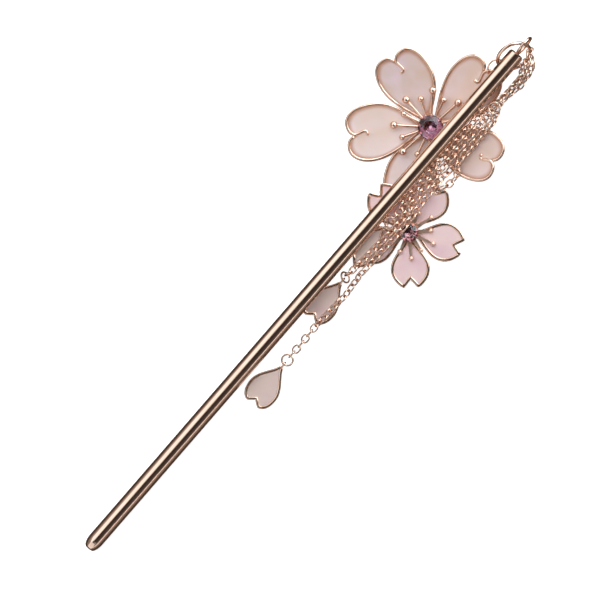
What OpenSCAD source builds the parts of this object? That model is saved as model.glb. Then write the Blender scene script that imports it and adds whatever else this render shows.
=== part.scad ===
// Kanzashi hair stick with two sakura flowers, three petal drops and four fine chains.
// It is modelled lying on a flat surface: +X along the stick from tip to head, +Z up.
// The origin is at the middle of the bottom of the whole part. All sizes are in mm.

/* [Stick] */
// Length of the round rod, from the tip to the shoulder at the head
stick_length = 160.5; // [150:0.5:172]
// Diameter of the rod
stick_d = 4; // [3.6:0.1:4.2]
// Length over which the tip rounds in
tip_length = 3; // [2.5:0.5:8]
// Diameter of the small flat at the very tip
tip_flat_d = 1.6; // [0.8:0.1:2.2]
// Chamfer on the shoulder at the head
head_chamfer = 0.4; // [0.2:0.1:0.8]
// Outer diameter of the upright eye soldered to the head
eye_d = 5.6; // [5.4:0.1:6]
// Wire of the eye
eye_wire = 0.7; // [0.5:0.05:0.8]

/* [Rings] */
// Outer diameter of the large ring that hangs in the eye
head_ring_d = 9.4; // [9:0.1:9.6]
// Wire of that ring
head_ring_wire = 0.9; // [0.7:0.05:1]
// Outer diameter of the jump ring that holds the large flower
flower_ring_d = 5.15; // [5:0.05:5.2]
// Outer diameter of the jump rings at the drops and the small flower
jump_ring_d = 3.2; // [3:0.1:3.4]
// Wire of the jump rings
jump_ring_wire = 0.45; // [0.35:0.05:0.5]

/* [Chain] */
// Length of one oval link
link_length = 2.55; // [2.5:0.05:2.7]
// Width of one oval link
link_width = 2.05; // [1.9:0.05:2.1]
// Wire of a link
link_wire = 0.36; // [0.3:0.02:0.38]
// Play between two links that hook into each other
link_play = 0.13; // [0.1:0.01:0.2]

/* [Large flower] */
// Distance from the centre of the flower to the far end of a petal
petal_length = 20.6; // [19:0.25:21]
// Half width of a petal on its fuller side
petal_full_w = 6.8; // [6.4:0.1:7]
// Half width of a petal on its slimmer side
petal_slim_w = 6.2; // [5.6:0.1:6.4]
// Width of the petal rim
petal_rim_w = 0.8; // [0.6:0.05:0.9]
// Height of the petal rim
petal_rim_h = 0.95; // [0.8:0.05:1.1]
// Thickness of the pearl film inside a rim
film_t = 0.3; // [0.25:0.05:0.45]
// How far the end of a petal stands above the plate
petal_rise = 2.2; // [2:0.1:2.5]
// Diameter of the plate that the petals are soldered to
plate_d = 6.4; // [6:0.1:7]
// Thickness of that plate
plate_t = 0.7; // [0.5:0.1:0.9]
// Diameter of the large crystal
crystal_d = 6.1; // [5.6:0.1:6.4]
// Reach of the long stamens, to the middle of the ball
stamen_long = 9.2; // [8.4:0.1:9.6]
// Reach of the short stamens, to the middle of the ball
stamen_short = 7.5; // [6.8:0.1:8]
// Thickness of a stamen
stamen_d = 0.7; // [0.5:0.05:0.8]
// Ball on a long stamen
ball_long_d = 1.95; // [1.6:0.05:2.1]
// Ball on a short stamen
ball_short_d = 1.5; // [1.3:0.05:1.7]

/* [Small flower] */
// Distance from the centre of the flower to the far end of a petal
small_petal_length = 13.4; // [12.6:0.2:14]
// Half width of a petal
small_petal_w = 4.4; // [4:0.1:4.7]
// Width of the petal rim
small_rim_w = 0.85; // [0.6:0.05:0.95]
// Height of the petal rim
small_rim_h = 0.9; // [0.7:0.05:1]
// Thickness of the pink enamel inside a rim
enamel_t = 0.4; // [0.3:0.05:0.5]
// How far the end of a petal stands above the plate
small_petal_rise = 0.6; // [0.4:0.1:1]
// Diameter of the plate that the petals are soldered to
small_plate_d = 4.8; // [4.4:0.1:5.2]
// Thickness of that plate
small_plate_t = 0.6; // [0.4:0.1:0.8]
// Diameter of the small crystal
small_crystal_d = 4.5; // [4:0.1:4.8]
// Reach of the long stamens, to the middle of the ball
small_stamen_long = 6.5; // [6:0.1:6.8]
// Reach of the short stamens, to the middle of the ball
small_stamen_short = 5.3; // [5:0.1:5.6]
// Width of a flat stamen where it leaves the middle
small_stamen_w = 1; // [0.8:0.1:1.2]
// Thickness of a flat stamen
small_stamen_t = 0.4; // [0.3:0.05:0.5]
// Ball on a stamen of the small flower
small_ball_d = 1.15; // [1:0.05:1.3]

/* [Petal drops] */
// Length of a drop, from its point to the ends of its lobes
drop_length = 11.3; // [10.6:0.1:12]
// Half width of a drop
drop_w = 3.7; // [3.4:0.1:4]
// Width of the rim of a drop
drop_rim_w = 0.8; // [0.6:0.05:0.95]
// Height of the rim of a drop
drop_rim_h = 0.9; // [0.7:0.05:1]
// Outer diameter of the upright loop at the point of a drop
drop_loop_d = 2; // [1.8:0.1:2.1]
// Wire of that loop
drop_loop_wire = 0.45; // [0.4:0.05:0.5]

/* [Fits] */
// Gap between pieces that lie on or in each other
lay_gap = 0.12; // [0.08:0.01:0.16]

/* [Hidden] */
$fn = 32;

rose_gold = [0.86, 0.7, 0.6];
pearl = [0.88, 0.8, 0.78];
pink_enamel = [0.93, 0.78, 0.8];
lilac_glass = [0.58, 0.38, 0.6];

stick_r = stick_d / 2;
link_pitch = link_length - 2 * link_wire - link_play;

// How far the tip reaches past the point from which the places below are measured
tip_reach = 1.5;

// Where the large flower lies: along the stick, across it, and above the surface
flower_s = 131.9;
flower_t = 4.25;
flower_z = 1.2;
// The flower leans up towards the head of the stick, where its ring holds it
flower_lean = 4.7;
// The petals are bent by hand: direction of each one, and its shares of the full rise,
// length and width. The petal under the small flower is pressed down.
FLOWER_PETALS = [
  [-3, 1, 1, 1], [69, 1, 0.965, 0.98], [137, 1, 0.99, 1.04], [202, 0.64, 0.97, 1], [282, 1, 0.9, 0.98]
];
stamen_pairs = 8;
stamen_turn = -7.5;
stamen_rise = 1.7;
film_dish = 0.2;

// Where the small flower lies. It leans on the large one.
small_s = 108.9;
small_t = -8.6;
small_z = 1.6;
small_lean = 6.5;
small_lean_turn = 45;
small_turn = 7;
small_stamen_pairs = 6;
small_stamen_turn = 45;
small_stamen_rise = 0.5;
// The bail in the notch of its upper petal, and the turn of the jump ring in it
small_bail_d = 2;
small_bail_at = small_petal_length * 0.84 + 1.1;
small_bail_z = 0.9;
small_ring_turn = 30;
small_ring_roll = 70;
enamel_dish = 0.1;

// Rivets and whorls that hold the stamens and the stones
rivet_d = 1.6;
rivet_head_d = 2.6;
rivet_head_h = 0.35;
whorl_t = 0.5;
// Shares of a stone's diameter: whorl, foot and mouth of its cup, and height of the cup
whorl_share = 0.8;
cup_foot_share = 0.6;
cup_mouth_share = 0.94;
cup_share = 0.26;
// Shares of a stone's diameter: table, height above the girdle and depth below it
table_share = 0.56;
crown_share = 0.17;
pavilion_share = 0.34;

// The stick lies on the rim of the petal that points to the head
rest_reach = petal_length * 0.97;
rest_rise = flower_z + rest_reach * sin(flower_lean)
  + (petal_rise + petal_rim_h / 2) * cos(flower_lean);
stick_tilt = atan((rest_rise + lay_gap) / (flower_s + rest_reach + tip_reach - tip_length));
// Height of the middle of the rod at its tip: its underside meets the surface at tip_length
stick_z = stick_r * cos(stick_tilt) - tip_length * sin(stick_tilt);

// How deep the wire of the eye sinks into the end of the rod, and its roll
eye_sink = 0.26;
eye_roll = 9.3;

// The head ring: its middle and its turns about X, Y and Z
HEAD_RING_AT = [158.1, 0.2, 6.2];
HEAD_RING_TURN = [39.7, -35.2, 7.6];
// The ring of the large flower
FLOWER_RING_AT = [153.1, 1.33, 5.19];
FLOWER_RING_TURN = [24, -4.5, 0];
// The hole in the film where that ring passes round the rim
FLOWER_RING_HOLE = [19.7, -2.2];
flower_ring_hole_d = 2.4;

// The large ring in the middle of the outer chain
CHAIN_RING_AT = [145.3, -4.5, 6.6];

// The drops: place of the point, turn on the surface, and lean along the drop.
// The third one lies under the stick, on a petal of the small flower.
DROPS = [
  [[63.3, -6.7, 0.46], 182, 0],
  [[88.5, -4.1, 0.46], 181, 0],
  [[105.5, -3.25, 3.3], 174, 2.8]
];
// How steeply the jump ring of each drop stands up from the drop's loop, and its roll
DROP_RING_TURNS = [[6, 0], [50, 20], [20, 0]];

// Chain routes, chosen by hand: along, across, above the surface, and roll of the links
CHAIN_A_UPPER = [
  [161.6, -1.9, 6.3, 23], [160.3, -2.4, 7.2, 25], [158.8, -3.4, 7.6, 35], [157, -4.3, 7.2, 45],
  [154.5, -4.5, 6.5, 45], [150, -4.5, 6.3, 45], [147.2, -4.5, 6.6, 90]
];
CHAIN_A_LOWER = [
  [143.6, -5.2, 6.6, 90], [142, -5.9, 6.4, 70], [140.4, -6.2, 6.1, 50], [137, -6.2, 5.3, 45],
  [132, -6.1, 5, 45], [129.5, -6.6, 5.2, 45], [127.8, -7.8, 5, 40], [126.3, -8.6, 4.3, 25],
  [124.3, -8.4, 3.8, 20]
];
CHAIN_B = [
  [160.7, -2.9, 4.8, -32], [160.2, -4, 5.6, -35], [159.2, -4.9, 5.7, -40], [157.5, -5.2, 5.2, -45],
  [155.5, -4.9, 4.75, -45], [153, -4.5, 4.5, -45], [148, -4.5, 4.5, -45], [146.2, -4.2, 4.6, -45],
  [144.5, -3.3, 4.8, -45], [143, -2.95, 5.1, -45], [141.5, -2.9, 5.5, -45], [139, -2.85, 6, -45],
  [130, -2.85, 6, -45], [120, -2.85, 5.2, -45], [113, -2.9, 5.1, -55], [111.3, -3.4, 5.1, -75],
  [109.3, -3.65, 4.95, -90]
];
CHAIN_C = [
  [159.2, -3.2, 3.6, -61], [158.8, -4.5, 4, -55], [157.9, -5.4, 3.9, -50], [156.2, -5.6, 3.5, -45],
  [154, -5, 3, -45], [151.5, -4.6, 2.8, -45], [146, -4.5, 2.8, -45], [143.5, -4.5, 3.3, -45],
  [141, -4.5, 4.6, -45], [138.5, -4.5, 5.5, -45], [130, -4.5, 5.5, -45], [123, -4.45, 5.2, -45],
  [115, -4.6, 5.2, -45], [110.5, -5.3, 5.3, -45], [107, -5.3, 5.2, -45], [104, -5.1, 4.7, -45],
  [100, -4.8, 4.4, -45], [95.5, -4.6, 4.4, -45], [92.8, -4.3, 4.4, -55], [91.4, -4.05, 3.35, -70]
];
CHAIN_D = [
  [157.5, -2.75, 2.8, -81], [156.9, -4, 2.3, -80], [156.2, -5, 1.5, -75],
  [154.6, -5.8, 1.15, -65], [152.6, -5.6, 1.05, -55], [150.5, -5, 1.05, -45],
  [148.5, -4.8, 1.05, -45], [146.5, -5, 1.3, -45], [145, -5.8, 2.2, -45],
  [143.4, -6.4, 3.8, -45], [142, -6.5, 4.5, -45], [140, -6.5, 4.4, -45], [137, -6.75, 3.5, -45],
  [130, -6.6, 3.1, -45], [126, -6.15, 3.2, -45], [124.5, -6.05, 4, -45], [122.5, -6.05, 4.8, -45],
  [119, -6.15, 5.1, -45], [115, -6.3, 5.3, -45], [110.5, -6.9, 5.7, -45],
  [107, -6.9, 5.6, -45], [103, -6.7, 4.4, -45], [95.5, -6.5, 4.2, -45], [93.5, -6.4, 3.4, -45],
  [91, -6.6, 1.7, -45], [89, -6.8, 1.3, -45], [86.8, -7, 1.6, -45], [84, -6.8, 2.1, -45],
  [77.5, -6.5, 2.1, -45], [74.8, -6.4, 1.2, -90], [71, -6.6, 1.1, -90], [67.3, -6.55, 1.1, -90]
];

// The middle of the whole part along and across the stick
reach_right = small_t - small_petal_length - small_rim_w / 2;
reach_left = flower_t + petal_length + petal_rim_w / 2;
origin_s = (stick_length + eye_d) / 2 - tip_reach;
origin_t = (reach_left + reach_right) / 2;

function mix(a, b, x) = a + (b - a) * x;
function unit(v) = v / norm(v);
function bez(p, x) = pow(1 - x, 3) * p[0] + 3 * x * pow(1 - x, 2) * p[1]
  + 3 * x * x * (1 - x) * p[2] + pow(x, 3) * p[3];
function bez_run(p, n) = [for (i = [0:n - 1]) bez(p, i / n)];
function stretch(path, l, w) = [for (p = path) [p[0] * l, p[1] * w]];
function reversed(path) = [for (i = [len(path) - 1:-1:0]) path[i]];
function mirrored(path) = [for (p = path) [p[0], -p[1]]];

// Outlines of the petals: x runs along the petal and y across it, both given as shares
// of the petal's length and half width. Each side starts at the plate. The fuller side of a
// large petal has negative y.
base_share = 0.12;
notch_share = 0.915;
// Where the wire starts beside the notch, as a share of the slimmer half width
wire_start = 0.05;
flank_n = 6;
lobe_n = 5;
notch_n = 3;

function full_side(l, w) = stretch(concat(
  bez_run([[base_share, -0.1], [0.26, -0.52], [0.42, -1], [0.64, -1]], flank_n),
  bez_run([[0.64, -1], [0.86, -1], [1, -0.78], [1, -0.42]], lobe_n),
  bez_run([[1, -0.42], [1, -0.18], [0.96, -0.06], [notch_share, -0.02]], notch_n)
), l, w);
function slim_side(l, w) = stretch(concat(
  bez_run([[base_share, 0.1], [0.28, 0.42], [0.5, 1], [0.74, 1]], flank_n),
  bez_run([[0.74, 1], [0.9, 1], [1, 0.76], [1, 0.44]], lobe_n),
  bez_run([[1, 0.44], [1, 0.2], [0.97, 0.08], [notch_share, wire_start]], notch_n)
), l, w);
// The end of the wire curls inwards from the notch
curl_n = 5;
function notch_curl(l, w) = stretch([for (i = [0:curl_n])
  bez([[notch_share, -0.02], [0.84, -0.03], [0.76, -0.26], [0.765, 0.03]], i / curl_n)], l, w);
function heart_path(l, full_w, slim_w) = concat(
  reversed(full_side(l, full_w)), slim_side(l, slim_w), [[notch_share * l, 0]]);
function heart_wire(l, full_w, slim_w) = concat(
  [[notch_share * l, wire_start * slim_w]],
  reversed(slim_side(l, slim_w)), full_side(l, full_w), notch_curl(l, full_w));

function pointed_side(l, w) = stretch(concat(
  bez_run([[0.17, 0.12], [0.34, 0.4], [0.48, 1], [0.68, 1]], flank_n),
  bez_run([[0.68, 1], [0.82, 1], [0.92, 0.74], [1, 0.42]], lobe_n),
  [[1, 0.42], [0.92, 0.22]]
), l, w);
function pointed_path(l, w) = concat(
  reversed(mirrored(pointed_side(l, w))), pointed_side(l, w), [[0.84 * l, 0]]);

function drop_side(l, w) = stretch(concat(
  bez_run([[0.03, 0.06], [0.22, 0.24], [0.4, 1], [0.66, 1]], flank_n),
  bez_run([[0.66, 1], [0.86, 1], [0.97, 0.78], [1, 0.46]], lobe_n),
  [[1, 0.46], [0.94, 0.22]]
), l, w);
function drop_path(l, w) = concat(
  reversed(mirrored(drop_side(l, w))), drop_side(l, w), [[0.88 * l, 0]]);

// A closed path moved inwards by d, for what fills a rim
function inset(path, d) = [
  for (i = [0:len(path) - 1])
    let (
      n = len(path),
      before = unit(path[i] - path[(i + n - 1) % n]),
      after = unit(path[(i + 1) % n] - path[i]),
      along = unit(before + after)
    )
    path[i] + d / max(0.6, along * before) * [along[1], -along[0]]
];

// Height of a petal above its plate at the distance x from the middle of the flower
function cup(x, l, rise) = rise * pow(max(0, (x / l - base_share) / (1 - base_share)), 1.6);
function raised(path, l, rise) = [for (p = path) [p[0], p[1], cup(p[0], l, rise)]];

// A wire of width w and height h swept along points in space.
// A closed path joins its last ring to its first, an open one has two flat ends.
module wire_sweep(path, w, h, closed) {
  sides = 6;
  n = len(path);
  rings = [for (i = [0:n - 1])
    let (
      before = closed ? (i + n - 1) % n : max(i - 1, 0),
      after = closed ? (i + 1) % n : min(i + 1, n - 1),
      d = unit(path[after] - path[before]),
      across = unit(cross([0, 0, 1], d)),
      up = cross(d, across)
    )
    for (k = [0:sides - 1])
      path[i] + across * (w / 2) * cos(360 * k / sides) + up * (h / 2) * sin(360 * k / sides)
  ];
  walls = [for (i = [0:n - (closed ? 1 : 2)], k = [0:sides - 1])
    let (
      a = i * sides,
      b = ((i + 1) % n) * sides,
      k2 = (k + 1) % sides
    )
    [a + k2, a + k, b + k, b + k2]
  ];
  ends = closed ? [] : [
    [for (k = [0:sides - 1]) k],
    [for (k = [sides - 1:-1:0]) (n - 1) * sides + k]
  ];
  polyhedron(rings, concat(walls, ends), convexity = 10);
}

// A thin sheet inside a closed outline. Its edge follows the rise of the petal and its
// middle lies lower by dish.
module sheet(path, t, l, rise, dish) {
  n = len(path);
  middle = [l * 0.6, 0];
  shares = [0.5, 1];
  m = len(shares);
  top_at = m * n + 1;
  function at(j, i) = 1 + j * n + i % n;
  function layer(z) = concat(
    [[middle[0], middle[1], cup(middle[0], l, rise) - dish + z]],
    [for (f = shares, p = path)
      let (q = middle + (p - middle) * f)
      [q[0], q[1], cup(q[0], l, rise) - dish * (1 - f * f) + z]]
  );
  lower = concat(
    [for (i = [0:n - 1]) [0, at(0, i + 1), at(0, i)]],
    [for (i = [0:n - 1]) [at(0, i), at(1, i + 1), at(1, i)]],
    [for (i = [0:n - 1]) [at(0, i), at(0, i + 1), at(1, i + 1)]]
  );
  upper = [for (f = lower) [f[0] + top_at, f[2] + top_at, f[1] + top_at]];
  edge = [for (i = [0:n - 1])
    [at(m - 1, i + 1), at(m - 1, i + 1) + top_at, at(m - 1, i) + top_at, at(m - 1, i)]];
  polyhedron(concat(layer(-t / 2), layer(t / 2)), concat(lower, upper, edge), convexity = 10);
}

// A round ring lying in the XY plane
module ring(outer_d, wire) {
  rotate_extrude() translate([(outer_d - wire) / 2, 0]) circle(d = wire);
}

// An oval link along X, lying in the XY plane
module oval_link() {
  end_r = (link_width - link_wire) / 2;
  half = (link_length - link_width) / 2;
  for (turn = [0, 180]) rotate([0, 0, turn]) {
    translate([half, 0, 0]) rotate([0, 0, -90])
      rotate_extrude(angle = 180) translate([end_r, 0]) circle(d = link_wire);
    translate([-half, end_r, 0]) rotate([0, 90, 0]) cylinder(h = 2 * half, d = link_wire);
  }
}

// Corners of a route rounded by cutting them
function cut_corners(route) = concat(
  [route[0]],
  [for (i = [0:len(route) - 2]) each [
    mix(route[i], route[i + 1], 0.25), mix(route[i], route[i + 1], 0.75)
  ]],
  [route[len(route) - 1]]
);
function place(p) = [p[0], p[1], p[2]];
function leg(route, i) = norm(place(route[i + 1]) - place(route[i]));
function route_length(route, i = 0) =
  i >= len(route) - 1 ? 0 : leg(route, i) + route_length(route, i + 1);
function route_point(route, x, i = 0) =
  i >= len(route) - 2 || x <= leg(route, i)
    ? mix(route[i], route[i + 1], x / leg(route, i))
    : route_point(route, x - leg(route, i), i + 1);

// Links hooked into each other along a route. Every second link is turned by a quarter.
module strand(route) {
  smooth = cut_corners(cut_corners(route));
  total = route_length(smooth);
  count = ceil(total / link_pitch);
  step = total / count;
  for (i = [0:count]) {
    here = route_point(smooth, i * step);
    d = place(route_point(smooth, min(i + 0.5, count) * step))
      - place(route_point(smooth, max(i - 0.5, 0) * step));
    translate(place(here)) rotate([0, -atan2(d[2], norm([d[0], d[1]])), atan2(d[1], d[0])])
      rotate([here[3] + 90 * (i % 2), 0, 0]) oval_link();
  }
}

// Everything is laid out along the stick and then moved to the origin
module laid() {
  translate([-origin_s, -origin_t, 0]) children();
}

module hair_stick() {
  tip_profile = [for (a = [0:10:90])
    [mix(tip_flat_d / 2, stick_r, sin(a)), tip_length * (1 - cos(a))]];
  shoulder = [
    [stick_r, stick_length - head_chamfer],
    [stick_r - head_chamfer, stick_length],
    [0, stick_length]
  ];
  color(rose_gold) laid()
    translate([-tip_reach, 0, stick_z]) rotate([0, -stick_tilt, 0]) rotate([0, 90, 0]) union() {
      rotate_extrude() polygon(concat([[0, 0]], tip_profile, shoulder));
      translate([0, 0, stick_length + eye_d / 2 - eye_sink])
        rotate([0, 0, -eye_roll]) rotate([90, 0, 0]) ring(eye_d, eye_wire);
    }
}

module head_ring() {
  color(rose_gold) laid() translate(HEAD_RING_AT) rotate(HEAD_RING_TURN)
    ring(head_ring_d, head_ring_wire);
}

module flower_ring() {
  color(rose_gold) laid() translate(FLOWER_RING_AT) rotate(FLOWER_RING_TURN)
    ring(flower_ring_d, jump_ring_wire);
}

module on_flower() {
  laid() translate([flower_s, flower_t, flower_z]) rotate([0, -flower_lean, 0]) children();
}

module on_petal(i) {
  on_flower() rotate([0, 0, FLOWER_PETALS[i][0]]) children();
}

// Sizes of one petal
function petal_l(i) = petal_length * FLOWER_PETALS[i][2];
function full_w(i) = petal_full_w * FLOWER_PETALS[i][3];
function slim_w(i) = petal_slim_w * FLOWER_PETALS[i][3];
function petal_up(i) = petal_rise * FLOWER_PETALS[i][1];

// A plate with the hole for its rivet
module plate(d, t) {
  difference() {
    cylinder(h = t, d = d, center = true);
    cylinder(h = t * 2, d = rivet_d + lay_gap, center = true);
  }
}

module large_flower_frame() {
  color(rose_gold) union() {
    on_flower() plate(plate_d, plate_t);
    for (i = [0:4]) on_petal(i)
      wire_sweep(raised(heart_wire(petal_l(i), full_w(i), slim_w(i)), petal_l(i), petal_up(i)),
        petal_rim_w, petal_rim_h, false);
  }
}

module petal_film(i) {
  outline = inset(heart_path(petal_l(i), full_w(i), slim_w(i)), petal_rim_w / 2 + lay_gap);
  curl = notch_curl(petal_l(i), full_w(i));
  curl_end = curl[curl_n] + lay_gap * unit(curl[curl_n] - curl[curl_n - 1]);
  color(pearl) on_petal(i) difference() {
    sheet(outline, film_t, petal_l(i), petal_up(i), film_dish);
    wire_sweep(raised(concat(curl, [curl_end]), petal_l(i), petal_up(i)),
      petal_rim_w + 2 * lay_gap, petal_rim_h + 2 * film_t, false);
    translate([curl[0][0], wire_start * slim_w(i), 0])
      cylinder(h = 2 * petal_rise + film_t, d = 2 * petal_rim_w + lay_gap, $fn = 12);
    cylinder(h = 2 * plate_t, d = plate_d + 2 * lay_gap, center = true, $fn = 32);
    if (i == 0) translate([FLOWER_RING_HOLE[0], FLOWER_RING_HOLE[1], 0])
      cylinder(h = 2 * petal_rise + film_t, d = flower_ring_hole_d, $fn = 12);
  }
}

// A round cut stone: an eight-sided table, a girdle of sixteen sides and a small culet
module round_stone(d) {
  hull() {
    translate([0, 0, crown_share * d]) rotate([0, 0, 22.5])
      cylinder(h = 0.01, d = table_share * d, $fn = 8);
    cylinder(h = 0.03 * d, d = d, center = true, $fn = 16);
    translate([0, 0, -pavilion_share * d]) cylinder(h = 0.01, d = 0.1 * d, $fn = 8);
  }
}

// Height of a stone's girdle above the middle of the plate
function girdle_z(plate_h, d) = plate_h / 2 + lay_gap + whorl_t + pavilion_share * d;

// The whorl under a stone, the cup that holds it and the rivet through the plate
module setting(plate_h, d) {
  whorl_z = plate_h / 2 + lay_gap;
  cup_h = cup_share * d;
  difference() {
    union() {
      translate([0, 0, whorl_z]) cylinder(h = whorl_t, d = whorl_share * d);
      translate([0, 0, whorl_z + whorl_t / 2])
        cylinder(h = cup_h + whorl_t / 2, d1 = cup_foot_share * d, d2 = cup_mouth_share * d);
      translate([0, 0, -whorl_z - rivet_head_h])
        cylinder(h = 2 * whorl_z + rivet_head_h + whorl_t / 2, d = rivet_d);
      translate([0, 0, -whorl_z - rivet_head_h]) cylinder(h = rivet_head_h, d = rivet_head_d);
    }
    translate([0, 0, whorl_z + whorl_t - lay_gap])
      cylinder(h = pavilion_share * d + lay_gap, d1 = 0.2 * d, d2 = d + 2 * lay_gap);
  }
}

module large_flower_stamens() {
  start = whorl_share * crystal_d / 2 - 0.3;
  color(rose_gold) on_flower() union() {
    setting(plate_t, crystal_d);
    for (i = [0:2 * stamen_pairs - 1]) {
      long = i % 2 == 0;
      reach = long ? stamen_long : stamen_short;
      rotate([0, 0, stamen_turn + 180 * i / stamen_pairs])
        translate([0, 0, plate_t / 2 + lay_gap + whorl_t / 2])
        rotate([0, -atan(stamen_rise / stamen_long), 0]) {
          translate([start, 0, 0]) rotate([0, 90, 0]) cylinder(h = reach - start, d = stamen_d);
          translate([reach, 0, 0]) sphere(d = long ? ball_long_d : ball_short_d);
        }
    }
  }
}

module large_crystal() {
  color(lilac_glass) on_flower()
    translate([0, 0, girdle_z(plate_t, crystal_d)]) round_stone(crystal_d);
}

module on_small() {
  laid() translate([small_s, small_t, small_z])
    rotate([0, 0, small_lean_turn]) rotate([0, -small_lean, 0]) rotate([0, 0, -small_lean_turn])
    children();
}

module on_small_petal(i) {
  on_small() rotate([0, 0, small_turn + 72 * i]) children();
}

module small_flower_frame() {
  wire = pointed_path(small_petal_length, small_petal_w);
  color(rose_gold) union() {
    on_small() plate(small_plate_d, small_plate_t);
    for (i = [0:4]) on_small_petal(i)
      wire_sweep(raised(wire, small_petal_length, small_petal_rise),
        small_rim_w, small_rim_h, true);
    on_small_petal(0) translate([small_bail_at, 0, small_bail_z])
      ring(small_bail_d, drop_loop_wire);
  }
}

module petal_enamel(i) {
  outline = inset(pointed_path(small_petal_length, small_petal_w), small_rim_w / 2 + lay_gap);
  color(pink_enamel) on_small_petal(i)
    sheet(outline, enamel_t, small_petal_length, small_petal_rise, enamel_dish);
}

module small_flower_stamens() {
  start = whorl_share * small_crystal_d / 2 - 0.3;
  tip_w = small_stamen_w * 0.45;
  color(rose_gold) on_small() union() {
    setting(small_plate_t, small_crystal_d);
    for (i = [0:2 * small_stamen_pairs - 1]) {
      reach = i % 2 == 0 ? small_stamen_long : small_stamen_short;
      rotate([0, 0, small_stamen_turn + 180 * i / small_stamen_pairs])
        translate([0, 0, small_plate_t / 2 + lay_gap + whorl_t / 2])
        rotate([0, -atan(small_stamen_rise / small_stamen_long), 0]) {
          translate([0, 0, -small_stamen_t / 2]) linear_extrude(height = small_stamen_t)
            polygon([
              [start, -small_stamen_w / 2], [reach, -tip_w / 2],
              [reach, tip_w / 2], [start, small_stamen_w / 2]
            ]);
          translate([reach, 0, 0]) sphere(d = small_ball_d);
        }
    }
  }
}

module small_crystal() {
  color(lilac_glass) on_small()
    translate([0, 0, girdle_z(small_plate_t, small_crystal_d)]) round_stone(small_crystal_d);
}

// Where the jump ring of the small flower passes through its bail
small_hook_at = small_bail_at + small_bail_d / 2 - drop_loop_wire - jump_ring_wire / 2 - lay_gap;

module small_flower_ring() {
  color(rose_gold) on_small_petal(0)
    translate([small_hook_at, 0, small_bail_z]) rotate([small_ring_roll, 0, -small_ring_turn])
    translate([(jump_ring_d - jump_ring_wire) / 2, 0, 0]) ring(jump_ring_d, jump_ring_wire);
}

module chain_ring() {
  color(rose_gold) laid() translate(CHAIN_RING_AT) ring(jump_ring_d, jump_ring_wire);
}

module on_drop(i) {
  laid() translate(DROPS[i][0]) rotate([0, DROPS[i][2], DROPS[i][1]]) children();
}

// The loop of a drop is soldered to the point of its rim and stands on the same surface
drop_loop_sink = 0.4;
loop_at = drop_loop_d / 2 - drop_loop_sink;
loop_up = (drop_loop_d - drop_rim_h) / 2;
// Where the jump ring passes through the loop, before and above the drop's point
hook_at = loop_at + drop_loop_d / 2 - drop_loop_wire - jump_ring_wire / 2 - lay_gap;
hook_up = drop_loop_wire + jump_ring_wire / 2 + lay_gap - drop_rim_h / 2;

module drop_frame(i) {
  flat = [for (p = drop_path(drop_length, drop_w)) [p[0], p[1], 0]];
  color(rose_gold) on_drop(i) union() {
    wire_sweep(flat, drop_rim_w, drop_rim_h, true);
    translate([-loop_at, 0, loop_up]) rotate([90, 0, 0]) ring(drop_loop_d, drop_loop_wire);
  }
}

module drop_enamel(i) {
  color(pink_enamel) on_drop(i)
    sheet(inset(drop_path(drop_length, drop_w), drop_rim_w / 2 + lay_gap),
      enamel_t, drop_length, 0, 0);
}

module drop_ring(i) {
  color(rose_gold) on_drop(i)
    translate([-hook_at, 0, hook_up]) rotate([0, DROP_RING_TURNS[i][0], 0])
    rotate([DROP_RING_TURNS[i][1], 0, 0])
    translate([-(jump_ring_d - jump_ring_wire) / 2, 0, 0]) ring(jump_ring_d, jump_ring_wire);
}

module chain(route) {
  color(rose_gold) laid() strand(route);
}

hair_stick();
head_ring();
flower_ring();
large_flower_frame();
large_flower_stamens();
large_crystal();
petal_film(0);  // petal_film_1
petal_film(1);  // petal_film_2
petal_film(2);  // petal_film_3
petal_film(3);  // petal_film_4
petal_film(4);  // petal_film_5
small_flower_frame();
small_flower_stamens();
small_crystal();
petal_enamel(0);  // petal_enamel_1
petal_enamel(1);  // petal_enamel_2
petal_enamel(2);  // petal_enamel_3
petal_enamel(3);  // petal_enamel_4
petal_enamel(4);  // petal_enamel_5
small_flower_ring();
chain_ring();
drop_frame(0);  // drop_frame_1
drop_frame(1);  // drop_frame_2
drop_frame(2);  // drop_frame_3
drop_enamel(0);  // drop_enamel_1
drop_enamel(1);  // drop_enamel_2
drop_enamel(2);  // drop_enamel_3
drop_ring(0);  // drop_ring_1
drop_ring(1);  // drop_ring_2
drop_ring(2);  // drop_ring_3
chain(CHAIN_A_UPPER);  // chain_a_upper
chain(CHAIN_A_LOWER);  // chain_a_lower
chain(CHAIN_B);  // chain_b
chain(CHAIN_C);  // chain_c
chain(CHAIN_D);  // chain_d
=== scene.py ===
import math

import bmesh
import bpy
import numpy as np
from mathutils import Matrix, Vector


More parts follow.
